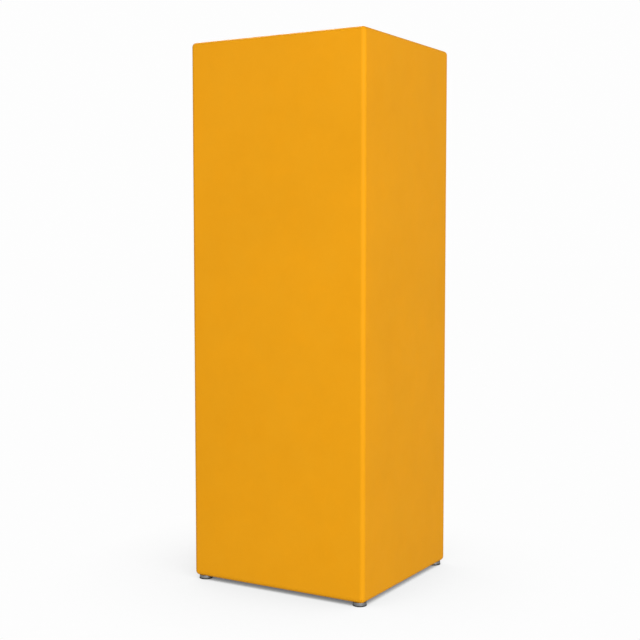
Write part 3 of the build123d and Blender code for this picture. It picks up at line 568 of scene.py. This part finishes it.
class Shape:
    """Builds small meshes in the row frame."""

    @staticmethod
    def finish(name: str, mesh: bmesh.types.BMesh, material: bpy.types.Material,
               smooth: bool = True) -> bpy.types.Object:
        """Turn a bmesh into a shown object.

        Args:
            name: object name.
            mesh: the geometry, used up by this call.
            material: its one material.
            smooth: shade smooth.

        Returns:
            The linked object.
        """
        data = bpy.data.meshes.new(name)
        bmesh.ops.recalc_face_normals(mesh, faces=mesh.faces)
        mesh.to_mesh(data)
        mesh.free()
        data.materials.append(material)
        for face in data.polygons:
            face.use_smooth = smooth
        made = bpy.data.objects.new(name, data)
        bpy.context.scene.collection.objects.link(made)
        return made

    @staticmethod
    def sweep(sections: Sequence[Sequence[Vector]], closed: bool) -> bmesh.types.BMesh:
        """Skin a row of matching closed outlines.

        Args:
            sections: the outlines in order, each with the same number of points.
            closed: join the last outline to the first; otherwise both ends are capped.

        Returns:
            The closed skin.
        """
        mesh = bmesh.new()
        loops = [[mesh.verts.new(point) for point in section] for section in sections]
        followers = loops[1:] + loops[:1] if closed else loops[1:]
        count = len(loops[0])
        for here, there in zip(loops, followers):
            for k in range(count):
                after = (k + 1) % count
                mesh.faces.new((here[k], there[k], there[after], here[after]))
        if not closed:
            mesh.faces.new(loops[0])
            mesh.faces.new(loops[-1][::-1])
        return mesh

    @staticmethod
    def lathe(outline: Iterable[tuple[float, float]], centre: Vector, steps: int = 48) -> bmesh.types.BMesh:
        """Turn a closed outline round an upright axis.

        Args:
            outline: (radius, height) points.
            centre: where height 0 lies on the axis.
            steps: number of facets round.

        Returns:
            The closed ring.
        """
        points, up = list(outline), Vector((0.0, 0.0, 1.0))
        sections = []
        for i in range(steps):
            angle = 2 * math.pi * i / steps
            out = Vector((math.cos(angle), math.sin(angle), 0.0))
            sections.append([centre + out * radius + up * height for radius, height in points])
        return Shape.sweep(sections, closed=True)


@dataclass
class SubAssembly:
    """Base of the box's sub-assemblies."""

    palette: Palette
    frame: dict[str, dict]

    def dress(self) -> None:
        """Put finishes on the owned nodes."""
        raise NotImplementedError

    def build(self) -> list[bpy.types.Object]:
        """Build pieces that are looks only; none by default."""
        return []

    def paint(self, slot: Slot, *names: str, variant: str | None = None) -> None:
        """Give nodes the finish of a slot.

        Args:
            slot: the slot whose finish they take.
            *names: node names.
            variant: name of a special version of the finish.
        """
        material = self.palette.variants[variant] if variant else self.palette.made[slot]
        for name in names:
            node = self.frame["nodes"][name]
            node.data.materials.clear()
            node.data.materials.append(material)
            for face in node.data.polygons:
                face.material_index = 0
            LOG.info("%s: %s", name, material.name)


@dataclass
class Cabinet(SubAssembly):
    """Outer shell, liner, shelf and the fixed lower panel."""

    def dress(self) -> None:
        """Paint the sheet metal and zinc the hidden rails."""
        self.paint(Slot.POWDER_COAT, "cabinet_shell", "recess_liner", "lower_panel", "door_stops")
        self.paint(Slot.GALVANISED, "paper_shelf", "shelf_rails", "head_divider", "base_rails")
        self.paint(Slot.ZINC, "foot_weld_nuts")
        self.paint(Slot.STAINLESS, "panel_screws")
        self.paint(Slot.ALUMINIUM, "card_frame")
        self.paint(Slot.CARD, "display_card")
        self.paint(Slot.CLEAR, "card_cover")
        self.paint(Slot.RUBBER, "stop_bumpers")


@dataclass
class Feet(SubAssembly):
    """Four levelling feet."""

    corners: tuple[str, ...] = ("front_left", "front_right", "rear_left", "rear_right")
    rim_height: float = 0.0026
    rim_proud: float = 0.0005
    rim_depth: float = 0.0012

    def dress(self) -> None:
        """Zinc-plate every foot."""
        self.paint(Slot.ZINC, *(f"foot_{corner}" for corner in self.corners))

    def build(self) -> list[bpy.types.Object]:
        """Press a rubber rim round the base of every foot."""
        return [self.rim(corner) for corner in self.corners]

    def rim(self, corner: str) -> bpy.types.Object:
        """Build one rubber rim.

        Args:
            corner: which foot it belongs to.

        Returns:
            The rim, riding on its foot.
        """
        low, high = (Vector(end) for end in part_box(f"foot_{corner}"))
        middle = Vector(((low.x + high.x) / 2, (low.y + high.y) / 2, low.z))
        outer = (high.x - low.x) / 2 + self.rim_proud
        inner, top = outer - self.rim_depth, self.rim_height
        soft = self.rim_proud
        outline = [(inner, 0.0), (outer - soft, 0.0), (outer, soft), (outer, top - soft),
                   (outer - soft, top), (inner, top)]
        mesh = Shape.lathe(outline, middle)
        ring = Shape.finish(f"foot_rim_{corner}", mesh, self.palette.made[Slot.RUBBER])
        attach(ring, f"foot_{corner}")
        return ring


@dataclass
class Door(SubAssembly):
    """Window door with its hinge, handle, quadrants and display wire."""

    def dress(self) -> None:
        """Paint the door and dress its fittings."""
        self.paint(Slot.POWDER_COAT, "door_skin")
        self.paint(Slot.GALVANISED, "door_stiffeners", "door_quadrants", "display_wire_ears", "latch_strike")
        self.paint(Slot.STAINLESS, "retainer_screws", "handle_screws", "display_wire")
        self.paint(Slot.STAINLESS, "cabinet_hinge_leaf", "door_hinge_leaf", "hinge_pin", "door_springs")
        self.paint(Slot.CHROME, "door_handle")
        self.paint(Slot.ALUMINIUM, "window_retainers")
        self.paint(Slot.RUBBER, "window_gasket")
        self.paint(Slot.CLEAR, "window_pane")


@dataclass
class CoinHead(SubAssembly):
    """Fascia, coin path, return button, return cup and latch."""

    wire_radius: float = 0.0006
    turns: int = 4
    steps: int = 28
    facets: int = 10
    travel: float = 0.0082

    def dress(self) -> None:
        """Paint the fascia and dress the coin parts."""
        self.paint(Slot.POWDER_COAT, "coin_fascia")
        self.paint(Slot.STAINLESS, "coin_slot_plate", variant="upright")
        self.paint(Slot.STAINLESS, "return_cup", "return_flap", "flap_pin", "mechanism_pins", "button_clip")
        self.paint(Slot.CHROME, "button_barrel", "return_button")
        self.paint(Slot.PLASTIC, "coin_chute", "return_chute")
        self.paint(Slot.GALVANISED, "drawer_housing", "mechanism_plates")
        self.paint(Slot.ZINC, "return_lever", "latch_pawl")
        self.paint(Slot.BRASS, "counting_wheel")
        self.paint(Slot.ALUMINIUM, "price_frame")
        self.paint(Slot.CARD, "price_card", variant="price")
        self.paint(Slot.CLEAR, "price_lens")

    def build(self) -> list[bpy.types.Object]:
        """Wind the return button's spring."""
        return [self.spring()]

    def spring(self) -> bpy.types.Object:
        """Wind a coil in the room of the rigid spring.

        Returns:
            The coil, in the place of the rigid one.
        """
        low, high = (Vector(end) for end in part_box("button_spring"))
        middle = (low + high) / 2
        wire, room = self.wire_radius, high.y - low.y
        radius, count = (high.x - low.x) / 2 - wire, self.turns * self.steps
        along = Vector((0.0, 1.0, 0.0))
        sections = []
        for i in range(count + 1):
            angle = 2 * math.pi * i / self.steps
            out = Vector((math.cos(angle), 0.0, math.sin(angle)))
            reach = wire + (room - 2 * wire) * i / count
            centre = Vector((middle.x, low.y, middle.z)) + reach * along + radius * out
            facets = [2 * math.pi * k / self.facets for k in range(self.facets)]
            sections.append([centre + wire * (math.cos(a) * out + math.sin(a) * along) for a in facets])
        mesh = Shape.sweep(sections, closed=False)
        coil = Shape.finish("button_spring_coil", mesh, self.palette.made[Slot.STAINLESS])
        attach(coil, "cabinet")
        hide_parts("button_spring")
        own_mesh(coil)
        return coil


@dataclass
class CoinDrawer(SubAssembly):
    """Sliding drawer with its lock."""

    def dress(self) -> None:
        """Dress the drawer and lock."""
        self.paint(Slot.STAINLESS, "drawer_front")
        self.paint(Slot.GALVANISED, "drawer_box")
        self.paint(Slot.CHROME, "lock_barrel")
        self.paint(Slot.BRASS, "lock_plug")
        self.paint(Slot.ZINC, "lock_cam", "cam_nut")


@dataclass(frozen=True)
class Softbox:
    """One lamp: where it hangs, its width and height, and its power in watts."""

    name: str
    place: tuple[float, float, float]
    size: tuple[float, float]
    watts: float


@dataclass
class Studio:
    """Pale floor, soft light and the camera."""

    palette: Palette
    softboxes: tuple[Softbox, ...] = (
        Softbox("key", (-3.15, 2.9, 1.25), (2.2, 1.7), 79.0),
        Softbox("rim_strip", (-1.9, 2.1, 3.9), (1.6, 0.8), 12.0),
        Softbox("front_fill", (2.5, -2.5, 4.2), (2.6, 2.2), 185.0),
    )
    aim_height: float = 0.65
    eye: Vector = field(default_factory=lambda: Vector((-1.432, 2.431, 0.807)))
    heading_deg: float = -59.38
    dip_deg: float = 4.03
    lens_mm: float = 66.7
    sensor_mm: float = 36.0
    floor_half: float = 30.0
    sky_level: float = 1.48
    shade_level: float = 0.44
    zenith_share: float = 0.2
    backdrop_level: float = 0.985

    def floor(self) -> None:
        """Lay the sweep."""
        mesh = bmesh.new()
        half = self.floor_half
        signs = ((-1, -1), (1, -1), (1, 1), (-1, 1))
        mesh.faces.new([mesh.verts.new(Vector((x * half, y * half, 0.0))) for x, y in signs])
        sweep = Shape.finish("paper_sweep", mesh, self.palette.variants["floor"], smooth=False)

    def sky(self) -> None:
        """Light from all round, weaker from behind the object, with an even backdrop."""
        world = bpy.data.worlds.new("studio")
        world.use_nodes = True
        bpy.context.scene.world = world
        graph = Graph(world.node_tree)
        where = graph.add("TexCoord")
        toward = Vector((self.eye.x, 0.82 * self.eye.y, 0.15)).normalized()
        dot = graph.add("VectorMath", operation="DOT_PRODUCT")
        graph.join(where.outputs["Generated"], dot.inputs[0])
        dot.inputs[1].default_value = toward
        level = graph.spread(dot.outputs["Value"], self.shade_level, self.sky_level, -0.22, 0.60)
        parts = graph.add("SeparateXYZ")
        graph.join(where.outputs["Generated"], parts.inputs["Vector"])
        overhead = graph.spread(parts.outputs["Z"], 1.0, self.zenith_share, 0.25, 0.75)
        glow = graph.add("Background", {"Color": WHITE})
        graph.join(graph.maths("MULTIPLY", level, overhead), glow.inputs["Strength"])
        plain = graph.add("Background", {"Color": WHITE, "Strength": self.backdrop_level})
        ray = graph.add("LightPath")
        mix = graph.add("MixShader")
        graph.join(ray.outputs["Is Camera Ray"], mix.inputs[0])
        graph.join(glow.outputs[0], mix.inputs[1])
        graph.join(plain.outputs[0], mix.inputs[2])
        out = graph.add("OutputWorld")
        graph.join(mix.outputs[0], out.inputs["Surface"])

    def hang(self, box: Softbox) -> None:
        """Hang one softbox facing the middle of the box.

        Args:
            box: what to hang.
        """
        data = bpy.data.lights.new(box.name, "AREA")
        data.shape = "RECTANGLE"
        data.size, data.size_y = box.size
        data.energy = box.watts
        lamp = bpy.data.objects.new(box.name, data)
        lamp.location = box.place
        toward = Vector((0.0, 0.0, self.aim_height)) - Vector(box.place)
        lamp.rotation_euler = toward.to_track_quat("-Z", "Y").to_euler()
        lamp.visible_camera = False
        bpy.context.scene.collection.objects.link(lamp)

    def camera(self) -> None:
        """Stand the camera at the chosen view."""
        data = bpy.data.cameras.new("view")
        data.lens = self.lens_mm
        data.sensor_width = self.sensor_mm
        data.dof.use_dof = False
        camera = bpy.data.objects.new("view", data)
        camera.location = self.eye
        heading, dip = math.radians(self.heading_deg), math.radians(self.dip_deg)
        look = Vector((math.cos(heading) * math.cos(dip), math.sin(heading) * math.cos(dip), -math.sin(dip)))
        camera.rotation_euler = look.to_track_quat("-Z", "Y").to_euler()
        bpy.context.scene.collection.objects.link(camera)
        bpy.context.scene.camera = camera

    def build(self) -> None:
        """Set the whole stage."""
        self.floor()
        self.sky()
        for box in self.softboxes:
            self.hang(box)
        self.camera()
        bpy.context.scene.view_settings.view_transform = "Standard"


def corners(box: tuple[Vector, Vector]) -> list[list[float]]:
    return [list(map(float, corner)) for corner in box]


def main() -> None:
    """Dress the frame, build the looks-only pieces and set the studio."""
    logging.basicConfig(level=logging.INFO, format="%(name)s %(message)s")
    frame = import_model()
    palette = Palette().build()
    for kind in (Cabinet, Feet, Door, CoinHead, CoinDrawer):
        part = kind(palette, frame)
        part.dress()
        for piece in part.build():
            LOG.info("built %s", piece.name)
    Studio(palette).build()


if __name__ == "__main__":
    main()
